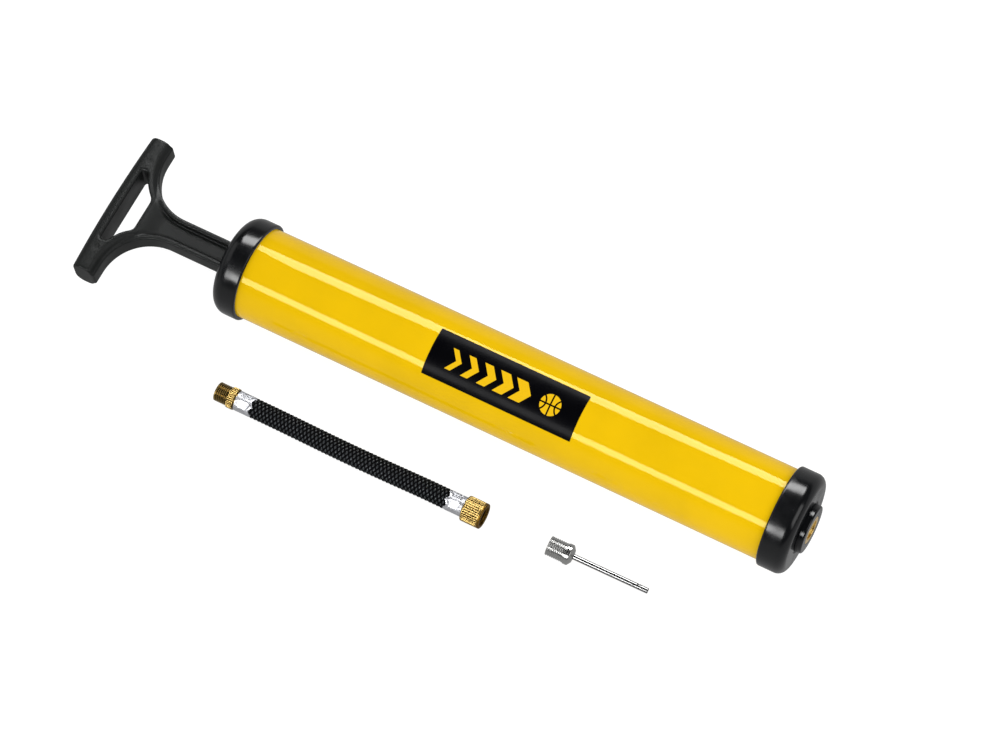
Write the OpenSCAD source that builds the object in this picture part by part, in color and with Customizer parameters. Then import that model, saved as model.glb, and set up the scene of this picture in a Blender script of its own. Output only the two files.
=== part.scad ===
// Hand ball pump with a T-handle plunger, a short braided hose and an inflation needle.
// +X runs along the pump axis out of the outlet, +Y along the handle's grip, +Z up.
// The origin is the centre of the outlet's mouth. The pump lies on its side, with the
// hose and the needle on the same surface beside it. Millimetres throughout.

/* [Barrel and caps] */
// Outer diameter of the barrel tube
barrel_od = 37.4; // [34:0.1:40]
// Wall thickness of the barrel tube
barrel_wall = 1.0; // [0.6:0.1:1.6]
// Length of the body over both cap faces
body_len = 247.2; // [220:0.1:280]
// Outer diameter of the outlet cap
base_cap_od = 40.8; // [39:0.1:44]
// Length of the outlet cap without its boss
base_cap_len = 11.0; // [10:0.1:14]
// Diameter of the boss around the outlet
boss_d = 19.6; // [16:0.1:24]
// Height of the boss above the cap's face
boss_h = 2.6; // [1:0.1:4]
// Outer diameter of the handle-end cap
handle_cap_od = 40.4; // [39:0.1:44]
// Length of the handle-end cap
handle_cap_len = 11.4; // [10:0.1:14]

/* [Plunger] */
// Length of the grip bar
grip_len = 62.8; // [52:0.1:70]
// Thickness of the grip bar across the handle's plane
grip_thick = 13.2; // [10:0.1:16]
// Distance from the handle cap's face to the grip's centre line with the plunger pushed in
grip_reach = 49.7; // [46:0.1:60]
// Width of the rod along the grip
rod_w = 11.6; // [10:0.1:12]
// Depth of the rod's flanges and of the handle's rim
rod_t = 7.5; // [6:0.1:8]
// Stroke of the piston
stroke = 205; // [150:1:206]

/* [Hose] */
// Outer diameter of the hose's braid
braid_d = 8.2; // [7:0.1:8.4]
// Major diameter of the valve thread on the fittings
thread_d = 7.8; // [7.7:0.1:7.9]
// Distance from the pump's axis to the hose's axis, along -Y
hose_side = 45.5; // [36:0.5:60]

/* [Needle] */
// Length of the needle's tube in front of its head
needle_len = 32.4; // [28:0.1:40]
// Outer diameter of the needle's tube
needle_d = 2.2; // [1.8:0.1:2.6]
// Length of the needle's head
needle_head_len = 9.2; // [8:0.1:10]

/* [Hidden] */

$fn = 96;
eps = 0.5;            // how far a cutting tool runs past the face it opens
slip = 0.05;          // radial clearance of a running or push fit

// barrel and caps along X
barrel_r = barrel_od / 2;
bore_r = barrel_r - barrel_wall;
base_r = base_cap_od / 2;
base_face_x = -boss_h;
base_lip_x = base_face_x - base_cap_len;
end_wall = 3.0;       // outlet cap's end wall
gasket_t = 1.0;
barrel_x1 = base_face_x - end_wall - gasket_t;
handle_face_x = base_face_x - body_len;
handle_lip_x = handle_face_x + handle_cap_len;
handle_r = handle_cap_od / 2;
handle_wall = 2.6;    // handle cap's end wall
barrel_x0 = handle_face_x + handle_wall + 0.2;
skirt_r = barrel_r + slip;
floor_z = -base_r;    // surface that everything lies on

// outlet, valve and valve chamber along X
outlet_r = thread_d / 2;
outlet_depth = 8;
insert_r = 5.7;
insert_len = 9.5;
port_r = 1.5;
tower_r = 8.8;
tower_x = -15.6;
chamber_r = 4.3;
seat_r = 6.5;
seat_t = 2.2;
disc_r = 3.6;
disc_t = 1.4;
disc_x = tower_x + seat_t + 0.05;
spring_wire = 0.4;
spring_r = 2.3;
spring_turns = 3;
spring_x0 = disc_x + disc_t;
spring_x1 = -insert_len;

// piston along X, with the plunger pushed in
screw_x = tower_x - 1;      // screw head's front face, clear of the tower
screw_head_t = 2.2;
screw_head_r = 3.6;
screw_r = 1.6;
washer_t = 1.2;
washer_r = 12;
washer_x = screw_x - screw_head_t - washer_t;
cup_t = 2.2;
cup_x = washer_x - cup_t - slip;
cup_r = bore_r - 0.08;
cup_lip = 1.6;
cup_depth = 7;
spigot_r = 2.9;
head_x1 = cup_x - slip;
head_len = 8;
head_r = 17.4;
head_hub_r = 8;
rod_boss_r = 5.0;
rod_boss_len = 24;
stop_x = head_x1 - head_len - stroke - 0.5;    // guide sleeve's end, where the piston stops

// plunger planform, measured from the grip's centre line
grip_x = handle_face_x - grip_reach;
flare_r = 19.8;             // concave arc between grip and rod
flare_cx = 24.6;            // arc centre's distance from the grip's centre line
flare_cy = rod_w / 2 + flare_r;
grip_back = 4.8;            // grip's outer edge at its ends
grip_bow = 1.0;             // how far the outer edge bows out at the middle
bow_r = (pow(grip_len / 2, 2) + pow(grip_bow, 2)) / (2 * grip_bow);
rim = 0.6;                  // how far the rim stands out from the thick body
web_t = 2.8;
flange_w = 2.0;
slot_x0 = -0.5;
slot_x1 = 8.9;
slot_y = 16.4;
arm_w = 4.3;                // width of the arms beside the slot
rod_hole_r = norm([rod_w / 2, rod_t / 2]) + 0.12;
guide_r = rod_hole_r + 2.6;

// hose along X
nut_x0 = -124;
nut_len = 8.2;
nut_r = 5.2;
nut_wall = 1.5;
nut_grip = 3.5;             // threaded length at its mouth, in front of the gasket
nut_relief_r = 4.1;
nut_z = floor_z + nut_r;
fitting_x = -233.4;
fitting_thread_len = 5.7;
collar_len = 3.3;
collar_r = 4.35;
collar_x = fitting_x + fitting_thread_len;
collar_z = floor_z + collar_r;
front_ferrule_x = collar_x + collar_len;
ferrule_len = 7.8;
ferrule_r = 4.05;
ferrule_bore_r = 3.35;
rear_ferrule_x = nut_x0 - 0.2 - ferrule_len;
liner_r = 2.95;
liner_bore_r = 1.4;
barb_r = liner_bore_r - slip;
barb_len = 8;
passage_r = 0.8;
stem_flange_r = 3.4;
stem_neck_r = 2.4;
// centre line of the hose between its ends: x, sideways drift, height above the surface.
// It rises from the collar's radius to the nut's, because both lie on the surface.
hose_route = [[-224, 0, 4.35], [-216.6, 0, 4.35], [-216.4, 0, 4.35], [-208, 0, 4.35],
              [-200, -0.05, 4.35], [-192, -0.15, 4.4], [-184, -0.25, 4.45],
              [-176, -0.3, 4.55], [-168, -0.3, 4.7], [-160, -0.25, 4.85],
              [-152, -0.15, 5], [-146, -0.05, 5.1], [-140, 0, 5.2], [-132.2, 0, 5.2],
              [-132, 0, 5.2], [-126, 0, 5.2]];
hose_sides = 12;

// needle: its frame's origin is the centre of its ring's front face
needle_x = -79.4;
needle_y = -44.3;
needle_ring_r = 4.25;
needle_ring_t = 1.8;
needle_nose = 1.3;          // cone from the ring to the tube
needle_thread_r = thread_d / 2;
needle_r = needle_d / 2;
needle_root_r = needle_r - 0.2;     // the tube's end that is pressed into the head
needle_bore_r = 0.6;
needle_tilt = atan((needle_ring_r - needle_r) / needle_len);
needle_yaw = 2.4;
needle_z = floor_z + needle_ring_r * cos(needle_tilt);

// label
label_x0 = -158.2;
label_x1 = -94.7;
label_t = 0.12;
label_angle = 60;
label_lean = 16;            // its centre leans from +Z towards -Y

// a cylinder from x0 to x1 on the X axis
module rod_x(x0, x1, r) {
    translate([x0, 0, 0])
        rotate([0, 90, 0])
            cylinder(h = x1 - x0, r = r);
}

// a round hole for rod_x, open at both ends
module hole_x(x0, x1, r) {
    rod_x(x0 - eps, x1 + eps, r);
}

// a ring from x0 to x1 on the X axis
module ring_x(x0, x1, r_out, r_in) {
    difference() {
        rod_x(x0, x1, r_out);
        hole_x(x0, x1, r_in);
    }
}

// turns a drawing of (radius, x) about the X axis
module turn_x() {
    rotate([0, 90, 0])
        rotate_extrude()
            children();
}

// filled (radius, x) drawing of a disc with a rounded rim at its x1 face
module domed_disc(r, x0, x1, round_r) {
    translate([0, x0])
        square([r - round_r, x1 - x0]);
    translate([0, x0])
        square([r, x1 - x0 - round_r]);
    translate([r - round_r, x1 - round_r])
        circle(round_r);
}

module barrel() {
    color("gold")
        ring_x(barrel_x0, barrel_x1, barrel_r, bore_r);
}

module label() {
    color("black")
        rotate([label_lean, 0, 0])
            rotate([0, 90, 0])
                translate([0, 0, label_x0])
                    rotate([0, 0, 180 - label_angle / 2])
                        rotate_extrude(angle = label_angle)
                            translate([barrel_r, 0])
                                square([label_t, label_x1 - label_x0]);
}

// cap with a guide sleeve for the rod, reaching into the barrel as the piston's stop
module handle_cap() {
    color("dimgray")
        difference() {
            union() {
                difference() {
                    turn_x()
                        mirror([0, 1, 0])
                            domed_disc(handle_r, -handle_lip_x, -handle_face_x, 4.6);
                    rod_x(handle_face_x + handle_wall, handle_lip_x + eps, skirt_r);
                }
                rod_x(handle_face_x + 1, stop_x, guide_r);
            }
            hole_x(handle_face_x, stop_x, rod_hole_r);
        }
}

module base_cap() {
    color("dimgray")
        difference() {
            union() {
                turn_x()
                    domed_disc(base_r, base_lip_x, base_face_x, 3.4);
                turn_x()
                    domed_disc(boss_d / 2, base_face_x - 1, 0, 0.6);
                rod_x(tower_x, base_face_x, tower_r);
            }
            difference() {
                rod_x(base_lip_x - eps, base_face_x - end_wall, skirt_r);
                rod_x(tower_x, base_face_x, tower_r);
            }
            hole_x(-insert_len, 0, insert_r);
            rod_x(tower_x - eps, -insert_len, chamber_r);
            rod_x(tower_x - eps, tower_x + seat_t, seat_r);
        }
}

module outlet_insert() {
    color("goldenrod")
        difference() {
            rod_x(-insert_len, 0, insert_r);
            rod_x(-outlet_depth, eps, outlet_r);
            hole_x(-insert_len, 0, port_r);
        }
}

module base_gasket() {
    color("black")
        ring_x(barrel_x1, barrel_x1 + gasket_t, barrel_r, bore_r - 1.5);
}

module valve_seat() {
    color("whitesmoke")
        ring_x(tower_x, tower_x + seat_t, seat_r, port_r);
}

module valve_disc() {
    color("black")
        rod_x(disc_x, disc_x + disc_t, disc_r);
}

// places a ring of points of radius r on each point of a path, in planes square to X
function tube_points(path, radii, sides) = [
    for (i = [0 : len(path) - 1])
        for (k = [0 : sides - 1])
            path[i] + radii[i] * [0, cos(360 * k / sides), sin(360 * k / sides)]
];

// side faces between neighbouring rings, and the two end faces
function tube_faces(rings, sides) = concat(
    [[for (k = [0 : sides - 1]) k]],
    [for (i = [0 : rings - 2])
        for (k = [0 : sides - 1])
            [i * sides + k, (i + 1) * sides + k,
             (i + 1) * sides + (k + 1) % sides, i * sides + (k + 1) % sides]],
    [[for (k = [sides - 1 : -1 : 0]) (rings - 1) * sides + k]]
);

module swept_tube(path, radii, sides) {
    polyhedron(points = tube_points(path, radii, sides),
               faces = tube_faces(len(path), sides), convexity = 4);
}

module valve_spring() {
    steps = 16;
    rings = spring_turns * steps;
    wire_r = spring_wire / 2;
    pitch = (spring_x1 - spring_x0 - spring_wire) / spring_turns;
    // ring i of the wire, in the radial plane that holds the helix's axis
    helix = [
        for (i = [0 : rings])
            for (k = [0 : 5])
                let (a = 360 * i / steps,
                     r = spring_r + wire_r * cos(60 * k),
                     x = spring_x0 + wire_r + pitch * i / steps + wire_r * sin(60 * k))
                    [x, r * cos(a), r * sin(a)]
    ];
    color("silver")
        polyhedron(points = helix, faces = tube_faces(rings + 1, 6), convexity = 8);
}

// outline of the handle from the grip to the rod, standing in by a margin on its rod side
module handle_outline(margin) {
    difference() {
        intersection() {
            union() {
                translate([-grip_back - grip_bow, -grip_len / 2])
                    square([grip_back + grip_bow + flare_cx - flare_r - margin, grip_len]);
                translate([0, -flare_cy])
                    square([flare_cx, 2 * flare_cy]);
            }
            translate([bow_r - grip_back - grip_bow, 0])
                circle(bow_r, $fn = 360);
        }
        for (side = [-1, 1])
            translate([flare_cx, side * flare_cy])
                circle(flare_r + margin);
    }
}

// slot between the grip, the two arms and the rod's root, with rounded corners at its ends
module handle_slot() {
    difference() {
        translate([slot_x0, -slot_y])
            square([slot_x1 - slot_x0, 2 * slot_y]);
        for (side = [-1, 1])
            translate([flare_cx, side * flare_cy])
                circle(flare_r + arm_w);
    }
}

// hollow between the two flanges where the arms run together into the rod
module web_recess() {
    difference() {
        translate([slot_x1 + 1.5, -flare_cy])
            square([flare_cx, 2 * flare_cy]);
        for (side = [-1, 1])
            translate([flare_cx, side * flare_cy])
                circle(flare_r + flange_w);
    }
}

// side view of the thick part: full thickness over the grip, sloping down to the rod's web
module handle_side() {
    t = grip_thick / 2;
    w = web_t / 2;
    round_r = 3.8;
    x0 = -grip_back - grip_bow;
    translate([x0 + round_r, -t])
        square([slot_x1 + 1 - x0 - round_r, 2 * t]);
    translate([x0, -t + round_r])
        square([round_r, 2 * (t - round_r)]);
    for (side = [-1, 1])
        translate([x0 + round_r, side * (t - round_r)])
            circle(round_r);
    polygon([[slot_x1, -t], [slot_x1 + 1, -t], [slot_x1 + 7, -w], [flare_cx, -w],
             [flare_cx, w], [slot_x1 + 7, w], [slot_x1 + 1, t], [slot_x1, t]]);
}

module handle() {
    difference() {
        union() {
            intersection() {
                translate([0, 0, -grip_thick / 2])
                    linear_extrude(grip_thick)
                        handle_outline(rim);
                rotate([90, 0, 0])
                    translate([0, 0, -grip_len / 2])
                        linear_extrude(grip_len)
                            handle_side();
            }
            difference() {
                translate([0, 0, -rod_t / 2])
                    linear_extrude(rod_t)
                        handle_outline(0);
                for (z = [web_t / 2, -web_t / 2 - rod_t])
                    translate([0, 0, z])
                        linear_extrude(rod_t)
                            web_recess();
            }
        }
        translate([0, 0, -grip_thick])
            linear_extrude(2 * grip_thick)
                handle_slot();
    }
}

module rod() {
    x0 = grip_x + flare_cx - 0.5;
    x1 = head_x1 - rod_boss_len + 4;
    translate([x0, -rod_w / 2, -web_t / 2])
        cube([x1 - x0, rod_w, web_t]);
    for (side = [0, 1])
        translate([x0, side * (rod_w - flange_w) - rod_w / 2, -rod_t / 2])
            cube([x1 - x0, flange_w, rod_t]);
}

module plunger() {
    color("darkslategray")
        difference() {
            union() {
                translate([grip_x, 0, 0])
                    handle();
                rod();
                rod_x(head_x1 - rod_boss_len, head_x1, rod_boss_r);
                rod_x(head_x1 - 1, washer_x, spigot_r);
            }
            rod_x(washer_x - 14, washer_x + eps, screw_r + slip);
        }
}

module piston_head() {
    color("ivory")
        difference() {
            union() {
                rod_x(head_x1 - head_len, head_x1 - head_len + 2, head_r);
                rod_x(head_x1 - head_len, head_x1, head_hub_r);
                rod_x(head_x1 - 2, head_x1, head_r - 1);
            }
            hole_x(head_x1 - head_len, head_x1, rod_boss_r + slip);
        }
}

module cup_seal() {
    color("black")
        difference() {
            rod_x(cup_x, cup_x + cup_depth, cup_r);
            rod_x(cup_x + cup_t, cup_x + cup_depth + eps, cup_r - cup_lip);
            hole_x(cup_x, cup_x + cup_t, spigot_r + slip);
        }
}

module cup_washer() {
    color("silver")
        ring_x(washer_x, washer_x + washer_t, washer_r, screw_r + slip);
}

module piston_screw() {
    color("silver")
        difference() {
            union() {
                rod_x(screw_x - screw_head_t, screw_x, screw_head_r);
                rod_x(screw_x - screw_head_t - 14, screw_x - screw_head_t, screw_r);
            }
            for (turn = [0, 90])
                rotate([turn, 0, 0])
                    translate([screw_x - 1.2, -2.2, -0.4])
                        cube([2, 4.4, 0.8]);
        }
}

module hose_fitting() {
    color("goldenrod")
        translate([0, -hose_side, collar_z])
            difference() {
                union() {
                    rod_x(fitting_x, collar_x, thread_d / 2);
                    rod_x(collar_x, front_ferrule_x, collar_r);
                    rod_x(front_ferrule_x - 1, front_ferrule_x + barb_len, barb_r);
                }
                hole_x(fitting_x, front_ferrule_x + barb_len, passage_r);
            }
}

// crimped sleeve: a tube pressed to six flats over its middle
module ferrule(x0) {
    difference() {
        rod_x(x0, x0 + ferrule_len, ferrule_r);
        hole_x(x0, x0 + ferrule_len, ferrule_bore_r);
        for (turn = [0 : 60 : 300])
            rotate([turn, 0, 0])
                translate([x0 + 1, -3, ferrule_r - 0.3])
                    cube([ferrule_len - 2, 6, 1]);
    }
}

module hose_ferrule_front() {
    color("silver")
        translate([0, -hose_side, collar_z])
            ferrule(front_ferrule_x);
}

module hose_ferrule_rear() {
    color("silver")
        translate([0, -hose_side, nut_z])
            ferrule(rear_ferrule_x);
}

// a round layer along the whole route, narrowed where the ferrules grip it
module hose_layer(r_free, r_gripped) {
    gripped = [for (p = hose_route)
        p[0] < front_ferrule_x + ferrule_len + 0.1 || p[0] > rear_ferrule_x - 0.1];
    swept_tube([for (p = hose_route) [p[0], p[1] - hose_side, p[2] + floor_z]],
               [for (g = gripped) g ? r_gripped : r_free], hose_sides);
}

module hose_liner() {
    color("black")
        difference() {
            hose_layer(liner_r, liner_r);
            hose_layer(liner_bore_r + 0.1, liner_bore_r + 0.1);
        }
}

module hose_braid() {
    color("black")
        difference() {
            hose_layer(braid_d / 2, ferrule_bore_r - slip);
            hose_layer(liner_r + slip, liner_r + slip);
        }
}

module hose_stem() {
    color("goldenrod")
        translate([0, -hose_side, nut_z])
            difference() {
                union() {
                    rod_x(rear_ferrule_x, nut_x0 - 1.5, barb_r);
                    rod_x(nut_x0 - 1.6, nut_x0 + nut_wall + 0.2, stem_neck_r);
                    rod_x(nut_x0 + nut_wall + 0.1, nut_x0 + nut_wall + 1.3, stem_flange_r);
                }
                hole_x(rear_ferrule_x, nut_x0 + 3, passage_r);
            }
}

module swivel_nut() {
    color("goldenrod")
        translate([0, -hose_side, nut_z])
            difference() {
                rod_x(nut_x0, nut_x0 + nut_len, nut_r);
                rod_x(nut_x0 + nut_wall, nut_x0 + nut_len + eps, thread_d / 2);
                rod_x(nut_x0 + nut_wall, nut_x0 + nut_len - nut_grip, nut_relief_r);
                hole_x(nut_x0, nut_x0 + nut_wall, stem_neck_r + 0.08);
            }
}

module nut_gasket() {
    color("black")
        translate([0, -hose_side, nut_z])
            ring_x(nut_x0 + nut_wall + 1.4, nut_x0 + nut_wall + 2.6, thread_d / 2, port_r);
}

// lays the needle's own frame on the surface: ring and tip both touch it
module lay_needle() {
    translate([needle_x, needle_y, needle_z])
        rotate([0, needle_tilt, needle_yaw])
            children();
}

module needle_head() {
    color("silver")
        lay_needle()
            difference() {
                union() {
                    rod_x(-needle_head_len, -needle_ring_t, needle_thread_r);
                    rod_x(-needle_ring_t, 0, needle_ring_r);
                    rotate([0, 90, 0])
                        cylinder(h = needle_nose, r1 = needle_ring_r - 0.3, r2 = needle_r + 0.9);
                }
                hole_x(-needle_head_len, needle_nose, needle_root_r + 0.02);
            }
}

module needle_tube() {
    color("silver")
        lay_needle()
            difference() {
                union() {
                    rod_x(needle_nose, needle_len, needle_r);
                    rod_x(-needle_head_len + 1, needle_nose + 0.5, needle_root_r);
                }
                hole_x(-needle_head_len, needle_len, needle_bore_r);
            }
}

barrel();
label();
handle_cap();
base_cap();
outlet_insert();
base_gasket();
valve_seat();
valve_disc();
valve_spring();
plunger();
piston_head();
cup_seal();
cup_washer();
piston_screw();
hose_fitting();
hose_ferrule_front();
hose_liner();
hose_braid();
hose_ferrule_rear();
hose_stem();
swivel_nut();
nut_gasket();
needle_head();
needle_tube();
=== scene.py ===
"""Looks of a hand ball pump, its braided hose and its inflation needle.

Shapes are worked out in millimetres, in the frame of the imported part, and every piece is
a surface on a grid of numbers. A piece sits at the origin with its place in its mesh.
"""

import bpy
import numpy as np
from bpy.props import FloatProperty, FloatVectorProperty, IntProperty, PointerProperty
from mathutils import Matrix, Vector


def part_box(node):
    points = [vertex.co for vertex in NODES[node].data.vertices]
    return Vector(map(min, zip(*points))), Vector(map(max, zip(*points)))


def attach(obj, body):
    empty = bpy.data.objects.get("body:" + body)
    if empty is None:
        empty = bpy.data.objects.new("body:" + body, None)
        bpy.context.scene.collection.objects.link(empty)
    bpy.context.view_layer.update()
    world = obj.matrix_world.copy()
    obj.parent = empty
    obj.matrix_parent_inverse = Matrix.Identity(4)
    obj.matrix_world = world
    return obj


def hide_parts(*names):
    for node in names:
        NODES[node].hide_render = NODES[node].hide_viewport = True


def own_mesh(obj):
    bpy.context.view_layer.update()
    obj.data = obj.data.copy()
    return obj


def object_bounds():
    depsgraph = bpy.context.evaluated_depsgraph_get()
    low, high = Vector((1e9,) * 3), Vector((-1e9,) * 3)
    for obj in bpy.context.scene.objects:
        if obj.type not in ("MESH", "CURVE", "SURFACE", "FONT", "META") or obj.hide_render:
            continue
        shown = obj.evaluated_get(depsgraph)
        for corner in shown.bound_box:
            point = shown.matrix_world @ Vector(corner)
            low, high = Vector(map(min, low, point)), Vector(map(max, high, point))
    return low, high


bl_info = {
    "name": "Ball Pump",
    "version": (1, 0, 0),
    "blender": (4, 5, 0),
    "location": "View3D > Sidebar > Ball Pump",
    "description": "Builds the visible pieces of a hand ball pump around its frame",
    "category": "Add Mesh",
}

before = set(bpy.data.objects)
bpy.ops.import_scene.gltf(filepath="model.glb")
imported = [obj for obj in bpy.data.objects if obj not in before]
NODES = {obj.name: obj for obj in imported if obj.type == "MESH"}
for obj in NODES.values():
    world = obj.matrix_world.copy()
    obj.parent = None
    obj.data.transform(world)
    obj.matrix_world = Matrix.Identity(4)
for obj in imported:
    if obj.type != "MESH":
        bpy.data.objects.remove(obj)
CAD_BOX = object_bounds()

MM = 0.001
TURN = 2 * np.pi
THREAD_R = 3.9  # crest of every thread, in millimetres as below
COLLAR_R = 4.35  # knurled collar of the hose's fitting
NUT_R = 5.2  # knurl of the swivel nut
SKIRT_R = 18.75  # inside of the caps' skirts
BUSH_R = 5.72  # the outlet cap's hole for its bush
FILM = 0.12  # thickness of the label


# ---------------------------------------------------------------- places from the frame


def node_box(node):
    """Lowest and highest corner of a CAD node, in millimetres."""
    low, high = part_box(node)
    return np.array(low) / MM, np.array(high) / MM


def axis_of(node):
    """Height and side of the axis of a round node that lies along X, in millimetres."""
    low, high = node_box(node)
    return (low[1] + high[1]) / 2, (low[2] + high[2]) / 2


FLOOR_Z = CAD_BOX[0][2]
GRIP_X = node_box("plunger")[0][0] + 5.8  # centre line of the grip bar
NEEDLE_RING, NEEDLE_R, NEEDLE_LEN = 4.25, 1.1, 32.4  # radii of ring and tube, and length to the tip
NEEDLE_TILT = np.arctan((NEEDLE_RING - NEEDLE_R) / NEEDLE_LEN)  # it lies on its ring and its tip
NEEDLE_YAW = np.radians(2.4)
NEEDLE_FACE = np.array([-79.4, -44.3, FLOOR_Z / MM + NEEDLE_RING * np.cos(NEEDLE_TILT)])
HOSE_ROUTE = [
    (-0.224, -0.0455, -0.01605),
    (-0.2166, -0.0455, -0.01605),
    (-0.208, -0.0455, -0.01605),
    (-0.2, -0.04555, -0.01605),
    (-0.192, -0.04565, -0.016),
    (-0.184, -0.04575, -0.01595),
    (-0.176, -0.0458, -0.01585),
    (-0.168, -0.0458, -0.0157),
    (-0.16, -0.04575, -0.01555),
    (-0.152, -0.04565, -0.0154),
    (-0.146, -0.04555, -0.0153),
    (-0.14, -0.0455, -0.0152),
    (-0.132, -0.0455, -0.0152),
    (-0.126, -0.0455, -0.0152),
]


# ---------------------------------------------------------------- settings


def colour(name, note, level):
    """A colour property whose default is given as three display levels from 0 to 255."""
    shown = np.array(level) / 255
    linear = np.where(shown > 0.04045, ((shown + 0.055) / 1.055) ** 2.4, shown / 12.92)
    return FloatVectorProperty(
        name=name, description=note, subtype="COLOR", min=0, max=1, default=tuple(linear)
    )


def number(name, note, amount, **more):
    """A plain number property."""
    return FloatProperty(name=name, description=note, default=amount, **more)


def length(name, note, size):
    """A length property whose default is given in millimetres."""
    return number(name, note, size * MM, unit="LENGTH", min=0)


def share(name, note, amount):
    """A property from 0 to 1."""
    return number(name, note, amount, subtype="FACTOR", min=0, max=1)


class BodySettings(bpy.types.PropertyGroup):
    """The barrel, its label and its caps."""

    enamel: colour("Enamel", "Colour of the barrel", (247, 199, 12))
    print_ink: colour("Print", "Colour of the label's print", (246, 196, 20))
    film: colour("Film", "Colour of the label's film", (5, 5, 8))
    cap: colour("Caps", "Colour of the two end caps", (14, 15, 17))
    gloss: share("Enamel Roughness", "Roughness of the barrel's enamel", 0.04)
    mark_height: length("Mark Height", "Height of the ball mark on the label", 8.6)


class HandleSettings(bpy.types.PropertyGroup):
    """The T-handle and its rod."""

    plastic: colour("Plastic", "Colour of the handle", (14, 17, 16))
    thick: length("Thickness", "Thickness of the grip", 13.2)
    flare: length("Flare", "Radius of the arc between the grip and the rod", 19.8)
    waist: length("Waist", "From the grip's centre line to its rod-side edge", 4.8)
    rod: length("Rod Width", "Width of the rod", 11.6)
    arm: length("Arm Width", "Width of the arms beside the slot", 4.3)
    lip: length("Slot Lip", "Width of the chamfer round the slot", 0.9)
    rim: length("Rim", "How far the rim stands out from the thick body", 0.6)
    flange: length("Flange", "Width of the rod's flanges and of the rim", 2.0)
    web: length("Web", "Thickness of the rod's web", 2.8)
    grain: length("Grain", "Size of the moulded surface grain", 0.35)
    cell: length("Cell", "Spacing of the grid that the handle is worked out on", 0.38)


class MetalSettings(bpy.types.PropertyGroup):
    """Threads, knurls and metal colours."""

    brass: colour("Brass", "Colour of the turned brass", (192, 163, 98))
    # a lit copy of the brass: its extra brightness is a painted reflection of the light at the pump's right
    # end
    bush: colour("Bush", "Colour of the outlet's brass bush", (255, 214, 120))
    tarnish: colour("Tarnish", "Colour of the dark band at the nut's mouth", (116, 86, 30))
    nickel: colour("Nickel", "Colour of the needle's plated head", (188, 188, 186))
    steel: colour("Steel", "Colour of the needle's tube", (150, 150, 150))
    aluminium: colour("Aluminium", "Colour of the ferrules", (205, 206, 210))
    pitch: length("Thread Pitch", "Pitch of the valve thread", 0.794)
    thread_depth: length("Thread Depth", "Depth of the valve thread", 0.42)
    ridges: IntProperty(name="Knurl Ridges", description="Ridges round a knurl", min=8, default=34)
    knurl_depth: length("Knurl Depth", "Depth of the knurl's grooves", 0.44)


class HoseSettings(bpy.types.PropertyGroup):
    """The braid over the hose."""

    yarn: colour("Yarn", "Colour of the braid's valleys", (4, 4, 5))
    # painted highlight: the colour painted on the yarns' crowns, where the braid glints
    glint: colour("Glint", "Colour of the yarns' crowns", (66, 70, 73))
    carriers: IntProperty(name="Carriers", description="Yarns each way round", min=4, default=8)
    pick: length("Pick", "Distance along the hose between two crossings of one yarn", 1.68)
    relief: length("Relief", "How deep the braid's valleys are", 0.5)


class StageSettings(bpy.types.PropertyGroup):
    """The camera and the lights."""

    azimuth: number("Azimuth", "Side that the camera looks from", 34.78)
    elevation: number("Elevation", "How high the camera looks from", 66.03)
    roll: number("Roll", "Turn of the camera round its axis", -7.5)
    distance: number("Distance", "From the camera to its target", 1.3786, unit="LENGTH")
    lens: number("Lens", "Focal length in millimetres", 129.6)
    strip: number("Strip Lights", "Brightness of the strips", 13.0)
    key: number("Key", "Brightness of the overhead light", 0.8)
    ambient: number("Ambient", "Brightness from all sides", 0.62)
    fill: number("Fill", "Brightness of the soft fills", 2.0)


GROUPS = {
    "pump_body": BodySettings,
    "pump_handle": HandleSettings,
    "pump_metal": MetalSettings,
    "pump_hose": HoseSettings,
    "pump_stage": StageSettings,
}


# ---------------------------------------------------------------- surfaces


def rounded(corners, steps=7):
    """Closed outline of (x, r, fillet) corners, each turned into an arc.

    An arc starts and ends at the fillet divided by the tangent of half the corner's angle,
    and its points go round the arc's centre at even angles."""
    data = np.array(corners, float)
    here, fillet = data[:, :2], data[:, 2:]
    back = np.roll(here, 1, 0) - here
    ahead = np.roll(here, -1, 0) - here
    back /= np.linalg.norm(back, axis=1, keepdims=True)
    ahead /= np.linalg.norm(ahead, axis=1, keepdims=True)
    half = np.arccos(np.clip((back * ahead).sum(1, keepdims=True), -1, 1)) / 2
    middle = back + ahead
    middle /= np.linalg.norm(middle, axis=1, keepdims=True)
    centre = here + middle * fillet / np.sin(half)
    first = here + back * fillet / np.tan(half) - centre
    last = here + ahead * fillet / np.tan(half) - centre
    sweep = np.pi - 2 * half
    t = np.linspace(0, 1, steps)[None, :, None]
    sweep = sweep[:, None, :]
    arcs = (np.sin((1 - t) * sweep) * first[:, None] + np.sin(t * sweep) * last[:, None]) / np.sin(sweep)
    return (centre[:, None] + arcs).reshape(-1, 2)


def refined(outline, step, above=0.0):
    """Adds points to a closed outline so that none of its sides is longer than a step, or
    than ten steps where it comes within the radius given as above."""
    closed = np.vstack([outline, outline[:1]])
    sides = np.linalg.norm(np.diff(closed, axis=0), axis=1)
    steps = np.where(np.minimum(closed[:-1, 1], closed[1:, 1]) > above, step, 10 * step)
    run = np.concatenate([[0], np.cumsum(sides)])
    parts = [
        np.linspace(a, b, max(1, int(np.ceil((b - a) / step))), endpoint=False)
        for a, b, step in zip(run[:-1], run[1:], steps)
    ]
    places = np.concatenate(parts)
    return np.stack([np.interp(places, run, closed[:, k]) for k in (0, 1)], 1)


def grid_quads(rows, columns, close_rows=True, close_columns=True):
    """Quads between the neighbours of a grid of vertices, numbered row by row."""
    i = np.arange(rows if close_rows else rows - 1)
    j = np.arange(columns if close_columns else columns - 1)
    i, j = (a.ravel() for a in np.meshgrid(i, j, indexing="ij"))
    k, m = (i + 1) % rows, (j + 1) % columns
    return np.stack([i * columns + j, k * columns + j, k * columns + m, i * columns + m], 1)


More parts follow.
